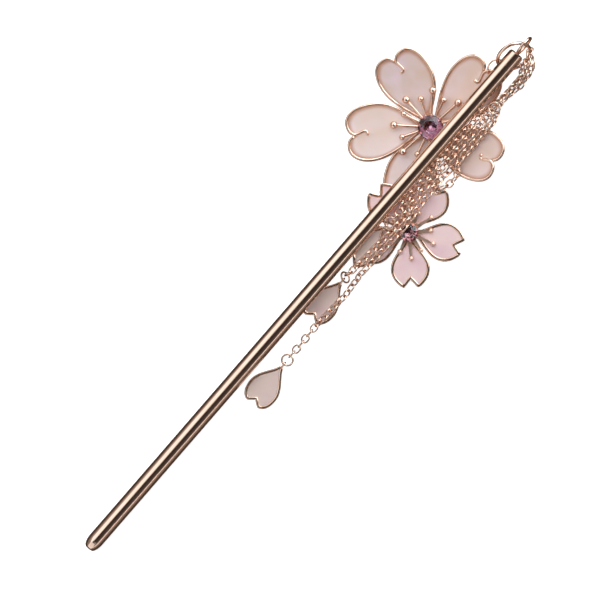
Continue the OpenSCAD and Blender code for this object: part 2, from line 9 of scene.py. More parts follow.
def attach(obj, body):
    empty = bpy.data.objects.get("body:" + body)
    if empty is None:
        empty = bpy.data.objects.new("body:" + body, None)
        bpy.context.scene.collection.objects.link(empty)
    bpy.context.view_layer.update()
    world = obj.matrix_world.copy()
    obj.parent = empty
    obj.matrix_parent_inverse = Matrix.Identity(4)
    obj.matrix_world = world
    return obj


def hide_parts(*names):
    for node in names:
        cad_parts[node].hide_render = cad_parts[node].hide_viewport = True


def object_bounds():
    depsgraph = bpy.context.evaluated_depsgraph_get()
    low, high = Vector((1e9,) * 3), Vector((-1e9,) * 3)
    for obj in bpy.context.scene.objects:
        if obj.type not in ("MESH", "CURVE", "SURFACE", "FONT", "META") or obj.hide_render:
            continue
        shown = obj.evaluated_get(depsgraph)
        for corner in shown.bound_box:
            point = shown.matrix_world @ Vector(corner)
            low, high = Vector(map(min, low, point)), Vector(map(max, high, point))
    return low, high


bl_info = {
    "name": "Sakura Hairpin",
    "version": (1, 0, 0),
    "blender": (4, 5, 0),
    "location": "View3D > Sidebar > Hairpin",
    "description": "Smooth rims, pearl films, enamel, cut stones and finishes for the packed hairpin",
    "category": "Add Mesh",
}

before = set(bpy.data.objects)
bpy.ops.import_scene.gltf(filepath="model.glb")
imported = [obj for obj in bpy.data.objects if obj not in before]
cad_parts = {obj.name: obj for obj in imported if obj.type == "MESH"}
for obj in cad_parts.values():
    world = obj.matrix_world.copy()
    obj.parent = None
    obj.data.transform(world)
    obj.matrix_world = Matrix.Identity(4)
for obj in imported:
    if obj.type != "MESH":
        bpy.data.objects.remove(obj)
cad_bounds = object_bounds()

MM = 0.001
# The middle of the whole part along and across the stick, in mm
ORIGIN_S = 81.55
ORIGIN_T = 1.4125
# The gap that the solids keep between pieces that lie on each other, in mm
LAY_GAP = 0.12
# Points this close are one and the same, in mm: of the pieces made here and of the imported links
SAME_MADE = 1e-4
SAME_PACKED = 1e-3


def in_mm(value):
    """A size of a property group in mm."""
    return value / MM


def length_prop(label, text, value_mm):
    """A length that a user can change. It is given in mm and kept in metres."""
    return bpy.props.FloatProperty(
        name=label, description=text, default=value_mm * MM, min=0.0, unit="LENGTH", precision=5)


def colour_prop(label, text, hex_code):
    """A colour that a user can change, from an sRGB hex code."""
    return bpy.props.FloatVectorProperty(
        name=label, description=text, default=linear(hex_code), size=4, min=0.0, max=1.0,
        subtype="COLOR")


def linear(hex_code):
    """The linear colour of an sRGB hex code, with an alpha of 1."""
    def channel(value):
        share = value / 255
        return share / 12.92 if share <= 0.04045 else ((share + 0.055) / 1.055) ** 2.4
    return tuple(channel(int(hex_code[i:i + 2], 16)) for i in (1, 3, 5)) + (1.0,)


class HairpinLargeFlower(bpy.types.PropertyGroup):
    """Sizes of the flower whose petals hold a pearl film."""
    petal: length_prop("Petal", "From the centre of the flower to the end of a petal", 20.6)
    full_side: length_prop("Full side", "Half width of a petal on its fuller side", 6.8)
    slim_side: length_prop("Slim side", "Half width of a petal on its slimmer side", 6.2)
    rim_width: length_prop("Rim width", "Width of the wire round a petal", 0.8)
    rim_height: length_prop("Rim height", "Height of the wire round a petal", 0.82)
    rise: length_prop("Rise", "How far the end of a petal stands above the plate", 2.2)
    film: length_prop("Film", "Thickness of the pearl film", 0.3)
    dish: length_prop("Dish", "How far the middle of a film sags", 0.3)
    plate: length_prop("Plate", "Diameter of the plate under the petals", 6.4)
    plate_thickness: length_prop("Plate thickness", "Thickness of that plate", 0.7)
    stone: length_prop("Stone", "Diameter of the large crystal", 6.1)


class HairpinSmallFlower(bpy.types.PropertyGroup):
    """Sizes of the flower whose petals hold pink enamel."""
    petal: length_prop("Petal", "From the centre of the flower to the end of a petal", 13.4)
    side: length_prop("Side", "Half width of a petal", 4.4)
    rim_width: length_prop("Rim width", "Width of the rim of a petal", 0.85)
    rim_height: length_prop("Rim height", "Height of the rim of a petal", 0.78)
    rise: length_prop("Rise", "How far the end of a petal stands above the plate", 0.6)
    enamel: length_prop("Enamel", "Thickness of the enamel", 0.4)
    dome: length_prop("Dome", "How far the middle of the enamel stands up", 0.12)
    plate: length_prop("Plate", "Diameter of the plate under the petals", 4.8)
    plate_thickness: length_prop("Plate thickness", "Thickness of that plate", 0.6)
    bail: length_prop("Bail", "Outer diameter of the bail on the upper petal", 2.0)
    stone: length_prop("Stone", "Diameter of the small crystal", 4.5)


class HairpinDrops(bpy.types.PropertyGroup):
    """Sizes of the petal drops at the ends of the chains."""
    length: length_prop("Length", "From the point of a drop to the ends of its lobes", 11.3)
    side: length_prop("Side", "Half width of a drop", 3.7)
    rim_width: length_prop("Rim width", "Width of the rim", 0.8)
    rim_height: length_prop("Rim height", "Height of the rim", 0.78)
    enamel: length_prop("Enamel", "Thickness of the enamel", 0.4)
    loop: length_prop("Loop", "Outer diameter of the loop at the point", 2.0)
    loop_wire: length_prop("Loop wire", "Wire of that loop", 0.45)


class HairpinRings(bpy.types.PropertyGroup):
    """Sizes of the rings."""
    head: length_prop("Head ring", "Outer diameter of the large ring in the eye", 9.4)
    head_wire: length_prop("Head ring wire", "Wire of the large ring", 0.9)
    flower: length_prop("Flower ring", "Outer diameter of the ring of the large flower", 5.15)
    jump: length_prop("Jump ring", "Outer diameter of the other jump rings", 3.2)
    jump_wire: length_prop("Jump ring wire", "Wire of the jump rings", 0.45)
    slit: length_prop("Slit", "Gap where a jump ring was closed", 0.07)
    link_wire: length_prop("Link wire", "Wire of the links of the chains", 0.42)


class HairpinColours(bpy.types.PropertyGroup):
    """Colours of the finishes."""
    gold: colour_prop("Rose gold", "Plating of the metal", "#ECCCBA")
    film: colour_prop("Pearl film", "Body of the pearl film", "#E0CBC5")
    # The film's edge colour: partly thicker film at its wire, partly a painted reflection of the gold wire
    film_edge: colour_prop("Film edge", "Where the film is thick at its wire", "#BC8260")
    enamel: colour_prop("Pink enamel", "Enamel of the small flower", "#EFD4D7")
    drop_enamel: colour_prop("Drop enamel", "Greyer enamel of the petal drops", "#DDC8C3")
    lilac: colour_prop("Lilac crystal", "Glass of the stones", "#F4ECF0")
    foil: colour_prop("Foil", "Coloured foil behind the large stone", "#A0808C")
    small_foil: colour_prop("Small foil", "Paler foil behind the small stone", "#C4A2A4")
    floor: colour_prop("Floor", "Plain table top", "#F4F3F2")


class HairpinStage(bpy.types.PropertyGroup):
    """Camera and lights."""
    lens: bpy.props.FloatProperty(
        name="Lens", description="Focal length in mm of a 36 mm wide sensor", default=200.0, min=20.0)
    frame_width: length_prop("Frame width", "Width that the picture covers at the object", 147.2)
    turn: bpy.props.FloatProperty(
        name="Turn", description="Direction of the stick in the picture, from level",
        default=math.radians(49.1), subtype="ANGLE", unit="ROTATION")
    key: bpy.props.FloatProperty(
        name="Key", description="Radiance of the long soft box", default=1.4, min=0.0)
    strip: bpy.props.FloatProperty(
        name="Strip", description="Radiance of the narrow strip light", default=2.2, min=0.0)
    cards: bpy.props.FloatProperty(
        name="Cards", description="Radiance of the cards at the ends of the stick", default=2.7, min=0.0)
    fill: bpy.props.FloatProperty(
        name="Fill", description="Power of the light that whitens the table, in watts", default=6.0,
        min=0.0)
    glow: bpy.props.FloatProperty(
        name="Glow", description="Light that comes up through the table", default=0.75, min=0.0)


class HairpinSettings(bpy.types.PropertyGroup):
    """All sizes and colours of the hairpin."""
    large: bpy.props.PointerProperty(type=HairpinLargeFlower)
    small: bpy.props.PointerProperty(type=HairpinSmallFlower)
    drops: bpy.props.PointerProperty(type=HairpinDrops)
    rings: bpy.props.PointerProperty(type=HairpinRings)
    colours: bpy.props.PointerProperty(type=HairpinColours)
    stage: bpy.props.PointerProperty(type=HairpinStage)


# Places and turns, as the solids have them: mm along and across the stick, and degrees


def turned(angle, axis):
    """A turn in degrees about an axis."""
    return Matrix.Rotation(math.radians(angle), 4, axis)


def laid(s, t, z):
    """A place given along the stick, across it and above the table, in mm."""
    return Matrix.Translation((s - ORIGIN_S, t - ORIGIN_T, z))


ON_LARGE = laid(131.9, 4.25, 1.2) @ turned(-4.7, "Y")
# The large petals are bent by hand: direction, and shares of the full rise, length and width
LARGE_PETALS = (
    (-3, 1.0, 1.0, 1.0),
    (69, 1.0, 0.965, 0.98),
    (137, 1.0, 0.99, 1.04),
    (202, 0.64, 0.97, 1.0),
    (282, 1.0, 0.9, 0.98),
)
# Each film's colour is scaled a little. Films dipped by hand differ a little, and each petal is also
# painted lighter or darker as light falls on it, one lighter and bluer as a painted pearly sheen: its red,
# green and blue as shares of the colour
FILM_LIGHT_AND_SHADE = (
    (1.0, 1.0, 1.0),
    (0.95, 0.96, 0.97),
    (1.1, 1.17, 1.22),
    (0.96, 1.02, 1.06),
    (0.92, 0.88, 0.86),
)
ON_SMALL = laid(108.9, -8.6, 1.6) @ turned(45, "Z") @ turned(-6.5, "Y") @ turned(-45, "Z")
SMALL_PETALS = (7, 79, 151, 223, 295)
BAIL_Z = 0.9
CHAINS = ("chain_a_upper", "chain_a_lower", "chain_b", "chain_c", "chain_d")
# Place of the point of each drop, turn on the table and lean along the drop
DROPS = (
    ((63.3, -6.7, 0.46), 182, 0.0),
    ((88.5, -4.1, 0.46), 181, 0.0),
    ((105.5, -3.25, 3.3), 174, 2.8),
)
HEAD_RING = laid(158.1, 0.2, 6.2) @ turned(7.6, "Z") @ turned(-35.2, "Y") @ turned(39.7, "X")
FLOWER_RING = laid(153.1, 1.33, 5.19) @ turned(-4.5, "Y") @ turned(24, "X")
CHAIN_RING = laid(145.3, -4.5, 6.6)
# How the jump ring of the small flower turns in its bail
IN_BAIL = turned(-30, "Z") @ turned(70, "X")
# How steeply the jump ring of each drop stands up, and its roll
DROP_RINGS = ((6, 0), (50, 20), (20, 0))


def drop_place(index):
    """Where a drop lies."""
    (s, t, z), turn, lean = DROPS[index]
    return laid(s, t, z) @ turned(turn, "Z") @ turned(lean, "Y")


# Outlines. x runs along a petal and y across it, as shares of its length and half width.


def bezier(points, count, last=False):
    """Points on a cubic curve, with its last one only where it is asked for."""
    a, b, c, d = (Vector(p) for p in points)
    run = []
    for i in range(count + last):
        x = i / count
        y = 1 - x
        run.append(y ** 3 * a + 3 * x * y * y * b + 3 * x * x * y * c + x ** 3 * d)
    return run


def stretched(path, along, across):
    """Shares turned into sizes."""
    return [Vector((p.x * along, p.y * across)) for p in path]


# Steps of the curves of a side: its flank, its lobe and the way into its notch
SIDE_STEPS = (22, 18, 10)
CURL_STEPS = 16
# How far out the notches lie: of the large petals, the small petals and the drops
HEART_NOTCH = 0.915
POINTED_NOTCH = 0.84
DROP_NOTCH = 0.88
# Both sides of a large petal from the plate to the notch, and the curled end of its wire
FULL_SIDE = (
    ((0.12, -0.1), (0.26, -0.52), (0.42, -1), (0.64, -1)),
    ((0.64, -1), (0.86, -1), (1, -0.78), (1, -0.42)),
    ((1, -0.42), (1, -0.18), (0.96, -0.06), (HEART_NOTCH, -0.02)),
)
SLIM_SIDE = (
    ((0.12, 0.1), (0.28, 0.42), (0.5, 1), (0.74, 1)),
    ((0.74, 1), (0.9, 1), (1, 0.76), (1, 0.44)),
    ((1, 0.44), (1, 0.2), (0.97, 0.08), (HEART_NOTCH, 0.05)),
)
NOTCH_CURL = ((HEART_NOTCH, -0.02), (0.84, -0.03), (0.76, -0.26), (0.765, 0.03))
# One side of a petal of the small flower and of a drop, and the straight way into each notch
SMALL_SIDE = (
    ((0.17, 0.12), (0.34, 0.4), (0.48, 1), (0.68, 1)),
    ((0.68, 1), (0.82, 1), (0.92, 0.74), (1, 0.42)),
)
SMALL_CUT = ((1, 0.42), (0.96, 0.32), (0.92, 0.22), (0.88, 0.11))
DROP_SIDE = (
    ((0.03, 0.06), (0.22, 0.24), (0.4, 1), (0.66, 1)),
    ((0.66, 1), (0.86, 1), (0.97, 0.78), (1, 0.46)),
)
DROP_CUT = ((1, 0.46), (0.97, 0.34), (0.94, 0.22), (0.91, 0.11))
# Where the middle of a sheet lies along its petal
SHEET_MIDDLE = 0.6
# How much of a petal stays flat on its plate, and how steeply the rest rises
FLAT_SHARE = 0.12
RISE_POWER = 1.6
# From the notch of the small flower's upper petal to the middle of its bail, in mm
BAIL_OFFSET = 1.1
# How far the loop of a drop overlaps its point, and hangs below the middle of its rim, in mm
LOOP_OVERLAP = 0.4
LOOP_BELOW = 0.45
# How far the enamel of the small flower lies below the middle of its rim, in mm
ENAMEL_BELOW = 0.05
# How far the enamel of a drop stands up in its middle, in mm
DROP_DOME = 0.1


def side_path(curves, length, width, straight=()):
    """One side of a petal from its curves and the points of a straight way into its notch."""
    path = []
    for points, count in zip(curves, SIDE_STEPS):
        path += bezier(points, count)
    return stretched(path + [Vector(p) for p in straight], length, width)


def heart_film(length, full, slim):
    """The closed outline of a pearl film."""
    return (side_path(FULL_SIDE, length, full)[::-1] + side_path(SLIM_SIDE, length, slim)
            + [Vector((HEART_NOTCH * length, 0))])


def heart_wire(length, full, slim):
    """The open run of a large petal's wire. Its end curls inwards from the notch."""
    curl = stretched(bezier(NOTCH_CURL, CURL_STEPS, True), length, full)
    return side_path(SLIM_SIDE, length, slim)[::-1] + side_path(FULL_SIDE, length, full) + curl


def mirrored_outline(side, notch):
    """A closed outline from one side and the place of its notch along the petal."""
    return [Vector((p.x, -p.y)) for p in reversed(side)] + side + [Vector((notch, 0))]


def rise_at(x, length, rise):
    """Height of a petal above its plate at the distance x from the middle of the flower."""
    return rise * max(0.0, (x / length - FLAT_SHARE) / (1 - FLAT_SHARE)) ** RISE_POWER


def bail_reach(small):
    """From the middle of the small flower to the middle of the bail on its upper petal, in mm."""
    return POINTED_NOTCH * in_mm(small.petal) + BAIL_OFFSET


# Shapes made with bmesh, in mm


def mesh_of(name, bm):
    """Turn a mesh in the making into a finished one, and free it."""
    mesh = bpy.data.meshes.new(name)
    bm.to_mesh(mesh)
    bm.free()
    return mesh


def put(name, data):
    """Put a new object in the scene."""
    made = bpy.data.objects.new(name, data)
    bpy.context.scene.collection.objects.link(made)
    return made


def finish_piece(name, bm, place, material, replaced, smooth=True):
    """Bake the place into the mesh, turn it to metres, and hang it on the part's body."""
    bmesh.ops.remove_doubles(bm, verts=bm.verts, dist=SAME_MADE)
    bmesh.ops.recalc_face_normals(bm, faces=bm.faces)
    bmesh.ops.transform(bm, matrix=Matrix.Scale(MM, 4) @ place, verts=bm.verts)
    for face in bm.faces:
        face.smooth = smooth
    piece = put(name, mesh_of(name, bm))
    for one in material if isinstance(material, list) else [material]:
        piece.data.materials.append(one)
    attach(piece, "root")
    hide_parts(*replaced)


def join(target, source):
    """Add one mesh in the making to another, and free it."""
    part = mesh_of("part", source)
    target.from_mesh(part)
    bpy.data.meshes.remove(part)


def path_frames(path, width, height, closed):
    """A matrix for each point of a path, which places a unit ring square to the path there."""
    count = len(path)
    frames = []
    for i in range(count):
        before = path[(i - 1) % count] if closed else path[max(i - 1, 0)]
        after = path[(i + 1) % count] if closed else path[min(i + 1, count - 1)]
        along = (after - before).normalized()
        across = Vector((0, 0, 1)).cross(along).normalized()
        up = along.cross(across)
        turn = Matrix((across, up, along)).transposed().to_4x4()
        frames.append(Matrix.Translation(path[i]) @ turn @ Matrix.Diagonal((width / 2, height / 2, 1, 1)))
    return frames


def edges_of(verts):
    """The edges of a ring of vertices, each once and in order."""
    return list(dict.fromkeys(edge for vert in verts for edge in vert.link_edges))


# The cut end of a wire is slightly rounded: how far in and how far out, as shares of its width
END_INSET = 0.18
END_ROUND = 0.16
# How many sides the wires of a rim, a ring and a link have
RIM_SIDES = 14
RING_SIDES = 16
LINK_SIDES = 8
# How many steps go round a ring, and round one end of a link
RING_STEPS = 72
LINK_STEPS = 7
# The square of a cast rim, whose sides are nearly flat
CAST = 0.7


def sweep(bm, path, width, height, closed, square=1.0, segments=RIM_SIDES):
    """Extrude a ring along a path. A square below 1 flattens the sides of the ring."""
    frames = path_frames(path, width, height, closed)
    made = bmesh.ops.create_circle(bm, segments=segments, radius=1.0)
    ring = made["verts"]
    for vert in ring:
        vert.co.x = math.copysign(abs(vert.co.x) ** square, vert.co.x)
        vert.co.y = math.copysign(abs(vert.co.y) ** square, vert.co.y)
    bmesh.ops.transform(bm, matrix=frames[0], verts=ring)
    first = edges_of(ring)
    last = first
    for before, after in zip(frames[:-1], frames[1:]):
        grown = bmesh.ops.extrude_edge_only(bm, edges=last)["geom"]
        verts = [g for g in grown if isinstance(g, bmesh.types.BMVert)]
        bmesh.ops.transform(bm, matrix=after @ before.inverted(), verts=verts)
        fresh = set(verts)
        last = [g for g in grown if isinstance(g, bmesh.types.BMEdge)
                and g.verts[0] in fresh and g.verts[1] in fresh]
    if closed:
        bmesh.ops.bridge_loops(bm, edges=first + last)
        return
    for ends in (first, last):
        cap = bmesh.ops.edgeloop_fill(bm, edges=ends)["faces"]
        bmesh.ops.inset_region(bm, faces=cap, thickness=width * END_INSET, depth=width * END_ROUND)


# The rings of a sheet, from its outline to its middle
SHEET_RINGS = (1.0, 0.96, 0.9, 0.8, 0.66, 0.5, 0.33, 0.16)


def sheet(bm, outline, length, thickness, height_at):
    """A thin sheet inside the outline of a petal. height_at gives its height from the distance along
    the petal and the share of the way out."""
    edge_share = bm.verts.layers.float.new("to_edge")
    rim = bmesh.ops.create_circle(bm, segments=len(outline), radius=1.0)["verts"]
    edges = edges_of(rim)
    for vert, point in zip(rim, outline):
        vert.co = (point.x, point.y, 0)
    base = [vert.co.copy() for vert in rim]
    verts = rim
    centre = Vector((SHEET_MIDDLE * length, 0, 0))
    for share in SHEET_RINGS:
        if share < 1.0:
            order = {vert: i for i, vert in enumerate(verts)}
            grown = bmesh.ops.extrude_edge_only(bm, edges=edges)["geom"]
            fresh = [g for g in grown if isinstance(g, bmesh.types.BMVert)]
            linked = [None] * len(verts)
            for vert in fresh:
                for edge in vert.link_edges:
                    other = edge.other_vert(vert)
                    if other in order:
                        linked[order[other]] = vert
            verts = linked
            known = set(verts)
            edges = [g for g in grown if isinstance(g, bmesh.types.BMEdge)
                     and g.verts[0] in known and g.verts[1] in known]
        for vert, start in zip(verts, base):
            flat = centre + (start - centre) * share
            vert.co = (flat.x, flat.y, height_at(flat.x, share))
            vert[edge_share] = share
    cap = bmesh.ops.edgeloop_fill(bm, edges=edges)["faces"]
    poke = bmesh.ops.poke(bm, faces=cap)["verts"]
    for vert in poke:
        vert.co.z = height_at(vert.co.x, 0.0)
    bmesh.ops.recalc_face_normals(bm, faces=bm.faces)
    bm.normal_update()
    # A shell grows against the normals of its faces, so they all look down before it grows up
    if sum(face.normal.z for face in bm.faces) > 0:
        bmesh.ops.reverse_faces(bm, faces=bm.faces)
    bmesh.ops.translate(bm, vec=(0, 0, -thickness / 2), verts=bm.verts)
    bmesh.ops.solidify(bm, geom=bm.faces, thickness=thickness)


def slit_ring(bm, outer, wire, slit):
    """A ring of round wire in the XY plane, with the fine gap where it was closed."""
    radius = (outer - wire) / 2
    gap = slit / radius
    profile = bmesh.ops.create_circle(bm, segments=RING_SIDES, radius=wire / 2,
                                      matrix=Matrix.Translation((radius, 0, 0)) @ turned(90, "X"))["verts"]
    bmesh.ops.spin(bm, geom=profile + edges_of(profile), cent=(0, 0, 0), axis=(0, 0, 1), dvec=(0, 0, 0),
                   angle=2 * math.pi - gap, steps=RING_STEPS, use_merge=False)
    open_edges = [edge for edge in bm.edges if edge.is_boundary]
    bmesh.ops.holes_fill(bm, edges=open_edges, sides=0)


def facet(bm, direction, tilt, place):
    """Cut a flat facet: everything outside a plane through place is taken off."""
    side = math.radians(direction)
    lean = math.radians(tilt)
    normal = Vector((math.cos(side) * math.sin(lean), math.sin(side) * math.sin(lean), math.cos(lean)))
    cut = bmesh.ops.bisect_plane(
        bm, geom=bm.verts[:] + bm.edges[:] + bm.faces[:], dist=1e-6, plane_co=place, plane_no=normal,
        clear_outer=True, clear_inner=False)["geom_cut"]
    edges = [g for g in cut if isinstance(g, bmesh.types.BMEdge)]
    if edges:
        bmesh.ops.edgenet_fill(bm, edges=edges)


def ring_place(radius, direction, height):
    """A place on a circle, in mm."""
    side = math.radians(direction)
    return Vector((radius * math.cos(side), radius * math.sin(side), height))


# Shares of a stone's diameter. The table's is of its width.
TABLE_SHARE = 0.56
CROWN_SHARE = 0.17
PAVILION_SHARE = 0.34
GIRDLE_SHARE = 0.015
CULET_SHARE = 0.06
# How much steeper or flatter the other facets are than the main ones, in degrees
HALF_STEEPER = 9
STAR_FLATTER = 11
LOWER_STEEPER = 5
# Facets that face down more than this carry the foil
FOIL_FROM = -0.2
# Height of the wires that cross under a stone, in mm
WIRES_UNDER_STONE = 0.5


def brilliant(bm, diameter):
    """A round brilliant cut: table, eight stars, eight kites, sixteen halves and the pavilion."""
    half = diameter / 2
    top = CROWN_SHARE * diameter
    girdle = GIRDLE_SHARE * diameter
    bottom = -PAVILION_SHARE * diameter
    bmesh.ops.create_cone(bm, cap_ends=True, segments=64, radius1=half, radius2=half, depth=diameter)
    facet(bm, 0, 0, Vector((0, 0, top)))
    facet(bm, 0, 180, Vector((0, 0, bottom)))
    table = TABLE_SHARE * half
    kite_tilt = math.degrees(math.atan2(top - girdle, half - table))
    depth_tilt = math.degrees(math.atan2(-girdle - bottom, half - CULET_SHARE * diameter))
    for i in range(8):
        turn = 45 * i
        facet(bm, turn, kite_tilt, ring_place(half, turn, girdle))
        facet(bm, turn, 180 - depth_tilt, ring_place(half, turn, -girdle))
    for i in range(16):
        turn = 22.5 * i + 11.25
        facet(bm, turn, kite_tilt + HALF_STEEPER, ring_place(half, turn, girdle))
        facet(bm, turn, 180 - depth_tilt - LOWER_STEEPER, ring_place(half, turn, -girdle))
    for i in range(8):
        turn = 45 * i + 22.5
        facet(bm, turn, kite_tilt - STAR_FLATTER,
              ring_place(table * math.cos(math.radians(22.5)), turn, top))


def foil_faces(bm):
    """The faces below the girdle carry the foil."""
    for face in bm.faces:
        if face.normal.z < FOIL_FROM:
            face.material_index = 1


# Finishes


def add_node(tree, kind, inputs=None, **settings):
    """Add a node. An input that is given as a socket is linked, any other is set."""
    made = tree.nodes.new(kind)
    for name, value in settings.items():
        setattr(made, name, value)
    for name, value in (inputs or {}).items():
        if isinstance(value, bpy.types.NodeSocket):
            tree.links.new(value, made.inputs[name])
        else:
            made.inputs[name].default_value = value
    return made


def empty_tree(owner):
    """The cleared nodes of a material or a world."""
    owner.use_nodes = True
    owner.node_tree.nodes.clear()
    return owner.node_tree


def start_material(name):
    """An empty material with its surface shader, and the object's coordinates."""
    material = bpy.data.materials.new(name)
    tree = empty_tree(material)
    surface = add_node(tree, "ShaderNodeBsdfPrincipled")
    add_node(tree, "ShaderNodeOutputMaterial", {"Surface": surface.outputs["BSDF"]})
    place = add_node(tree, "ShaderNodeTexCoord").outputs["Object"]
    return material, tree, surface, place


def tinted(colour, red, green, blue):
    """A colour with each channel scaled."""
    return (colour[0] * red, colour[1] * green, colour[2] * blue, 1.0)


def per_metre(size_mm):
    """The scale of a pattern whose features are size_mm apart."""
    return 1 / (size_mm * MM)


def relief(tree, place, size_mm, detail, strength, depth_mm):
    """The normals of a surface with a faint relief, whose features are size_mm apart."""
    waves = add_node(tree, "ShaderNodeTexNoise",
                     {"Vector": place, "Scale": per_metre(size_mm), "Detail": detail})
    bump = add_node(tree, "ShaderNodeBump",
                    {"Height": waves.outputs["Fac"], "Strength": strength, "Distance": depth_mm * MM})
    return bump.outputs["Normal"]


def rose_gold_plate(name, colour, smooth, rough):
    """Rose gold plate on steel and zinc alloy. The rod is polished like a mirror, and castings and
    wires are softer. Both have faint cloudy changes of gloss from buffing, between the smooth and
    the rough value, and hair-fine wear."""
    material, tree, surface, place = start_material(name)
    cloud = add_node(tree, "ShaderNodeTexNoise",
                     {"Vector": place, "Scale": per_metre(5.0), "Detail": 3.0})
    gloss = add_node(tree, "ShaderNodeMapRange",
                     {"Value": cloud.outputs["Fac"], "From Min": 0.35, "From Max": 0.65,
                      "To Min": smooth, "To Max": rough})
    tint = add_node(tree, "ShaderNodeMix",
                    {"Factor": cloud.outputs["Fac"], "A": colour, "B": tinted(colour, 1.0, 0.92, 0.85)},
                    data_type="RGBA")
    surface.inputs["Metallic"].default_value = 1.0
    tree.links.new(tint.outputs["Result"], surface.inputs["Base Color"])
    tree.links.new(gloss.outputs["Result"], surface.inputs["Roughness"])
    tree.links.new(relief(tree, place, 0.35, 2.0, 0.035, 0.05), surface.inputs["Normal"])
    return material


def clouded(tree, cloud, spread, low, body, high):
    """A colour that drifts with a noise: body at its middle, low and high a spread to either side."""
    hue = add_node(tree, "ShaderNodeValToRGB", {"Fac": cloud.outputs["Fac"]})
    hue.color_ramp.elements[0].position = 0.5 - spread
    hue.color_ramp.elements[0].color = low
    hue.color_ramp.elements[1].position = 0.5 + spread
    hue.color_ramp.elements[1].color = high
    hue.color_ramp.elements.new(0.5).color = body
    return hue.outputs["Color"]


def edged(tree, inner, edge, start):
    """An inner colour that turns to the edge's from a share of the way out on, as sheet() marks it."""
    share = add_node(tree, "ShaderNodeAttribute", attribute_name="to_edge")
    rim = add_node(tree, "ShaderNodeMapRange",
                   {"Value": share.outputs["Fac"], "From Min": start, "From Max": 1.0},
                   interpolation_type="SMOOTHSTEP")
    tint = add_node(tree, "ShaderNodeMix", {"Factor": rim.outputs["Result"], "A": inner, "B": edge},
                    data_type="RGBA")
    return tint.outputs["Result"]


def cure(surface, rough, coat, coat_rough, depth, radius):
    """Set the gloss of a resin, its clear top coat, and how deep light spreads in it by channel."""
    surface.inputs["Roughness"].default_value = rough
    surface.inputs["IOR"].default_value = 1.5
    surface.inputs["Coat Weight"].default_value = coat
    surface.inputs["Coat Roughness"].default_value = coat_rough
    surface.inputs["Subsurface Weight"].default_value = depth
    surface.inputs["Subsurface Radius"].default_value = radius
    surface.inputs["Subsurface Scale"].default_value = 0.4 * MM


def pearl_film(name, body, edge):
    """Dipped pearl resin film. It is milky and slightly see-through, with pink and green clouds that are
    partly its mica and partly a painted pearly sheen. It is warmer where it clings to its wire, partly
    because it is thicker there and partly as a painted reflection of the gold wire."""
    material, tree, surface, place = start_material(name)
    # The clouds are partly the film's uneven mica and partly a painted pearly sheen, lighter and bluer at
    # their high end
    cloud = add_node(tree, "ShaderNodeTexNoise",
                     {"Vector": place, "Scale": per_metre(9.0), "Detail": 2.0, "Distortion": 0.6})
    hue = clouded(tree, cloud, 0.2, tinted(body, 0.96, 0.92, 0.84), body, tinted(body, 1.09, 1.1, 1.26))
    # Towards its wire the film turns warmer: partly thicker resin, partly a painted reflection of the gold
    # wire
    tint = edged(tree, hue, edge, 0.81)
    tree.links.new(tint, surface.inputs["Base Color"])
    tree.links.new(relief(tree, place, 4.5, 1.0, 0.35, 0.3), surface.inputs["Normal"])
    cure(surface, 0.32, 0.5, 0.08, 0.2, (1.0, 0.7, 0.6))
    return material


def glossy_enamel(name, body):
    """Soft pink enamel, poured and cured. It is smooth and glossy with a little depth, and its
    colour drifts between rose and lilac."""
    material, tree, surface, place = start_material(name)
    cloud = add_node(tree, "ShaderNodeTexNoise",
                     {"Vector": place, "Scale": per_metre(6.0), "Detail": 1.5})
    hue = clouded(tree, cloud, 0.16, tinted(body, 0.95, 0.91, 0.95), body, tinted(body, 1.02, 1.05, 1.0))
    # Towards its rim the enamel turns darker and warmer: a painted reflection of the gold rim
    tint = edged(tree, hue, tinted(body, 0.84, 0.68, 0.58), 0.85)
    tree.links.new(tint, surface.inputs["Base Color"])
    tree.links.new(relief(tree, place, 2.2, 1.0, 0.15, 0.1), surface.inputs["Normal"])
    cure(surface, 0.22, 0.7, 0.04, 0.15, (1.0, 0.6, 0.6))
    return material


def lilac_glass(name, colour):
    """Lead crystal, cut and polished: clear lilac glass with a high index, so it sparkles."""
    material, tree, surface, place = start_material(name)
    streak = add_node(tree, "ShaderNodeTexNoise",
                      {"Vector": place, "Scale": per_metre(3.0), "Detail": 1.0})
    tint = add_node(tree, "ShaderNodeMix",
                    {"Factor": streak.outputs["Fac"], "A": colour, "B": tinted(colour, 0.92, 0.9, 1.0)},
                    data_type="RGBA")
    tree.links.new(tint.outputs["Result"], surface.inputs["Base Color"])
    surface.inputs["Roughness"].default_value = 0.01
    surface.inputs["IOR"].default_value = 1.56
    surface.inputs["Transmission Weight"].default_value = 1.0
    return material


def foil_back(name, colour):
    """Lacquered mirror foil on the back of a stone. It throws the light back through the glass."""
    material, tree, surface, place = start_material(name)
    grain = add_node(tree, "ShaderNodeTexNoise",
                     {"Vector": place, "Scale": per_metre(1.2), "Detail": 2.0})
    gloss = add_node(tree, "ShaderNodeMapRange",
                     {"Value": grain.outputs["Fac"], "To Min": 0.03, "To Max": 0.12})
    surface.inputs["Base Color"].default_value = colour
    surface.inputs["Metallic"].default_value = 1.0
    tree.links.new(gloss.outputs["Result"], surface.inputs["Roughness"])
    return material


def finish_of(name, make, *values):
    """A material by its name, made once."""
    found = bpy.data.materials.get(name)
    return found if found else make(name, *values)


# The smooth and the rough value of the rod, of castings, wires, rings and links, and of the small
# flower's stamens, which no wheel reaches
GLOSS = {"polished": (0.1, 0.16), "buffed": (0.15, 0.22), "satin": (0.34, 0.42)}


def gold_of(context, kind="buffed"):
    """A kind of rose gold plate."""
    return finish_of(f"{kind}_rose_gold_plate", rose_gold_plate, context.scene.hairpin.colours.gold,
                     *GLOSS[kind])


